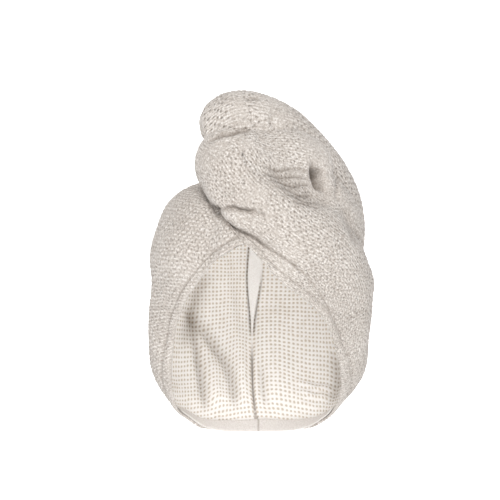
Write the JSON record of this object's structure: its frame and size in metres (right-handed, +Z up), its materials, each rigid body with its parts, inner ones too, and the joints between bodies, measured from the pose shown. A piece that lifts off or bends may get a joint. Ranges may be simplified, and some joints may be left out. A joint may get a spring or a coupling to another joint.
{
  "type": "hair turban towel",
  "caption": "Lined hair turban towel shown worn: knobbly outer cloth wound into an off-centre twist over the brow, its tail laid over the crown and buttoned at the nape.",
  "frame": {"origin": "the crown of the lining's inside, where the head carries the towel", "axes": "+Z up along the head, -Y towards the face opening, +X to the right of the front view (the wearer's left)"},
  "size_m": [0.2066, 0.2278, 0.318],
  "materials": {
    "outer_towelling": "knobbly crepe towelling, matt",
    "waffle_lining": "waffle weave cotton, matt",
    "hem_cloth": "plain woven cotton, matt",
    "button": "matt"
  },
  "bodies": {
    "root": {"hood_left": "outer_towelling", "hood_right": "outer_towelling", "front_twist": "outer_towelling", "twist_tail": "outer_towelling", "lining_left": "waffle_lining", "lining_right": "waffle_lining", "nape_hem": "hem_cloth", "seam_fold": "hem_cloth", "nape_button": "button"}
  },
  "joints": []
}
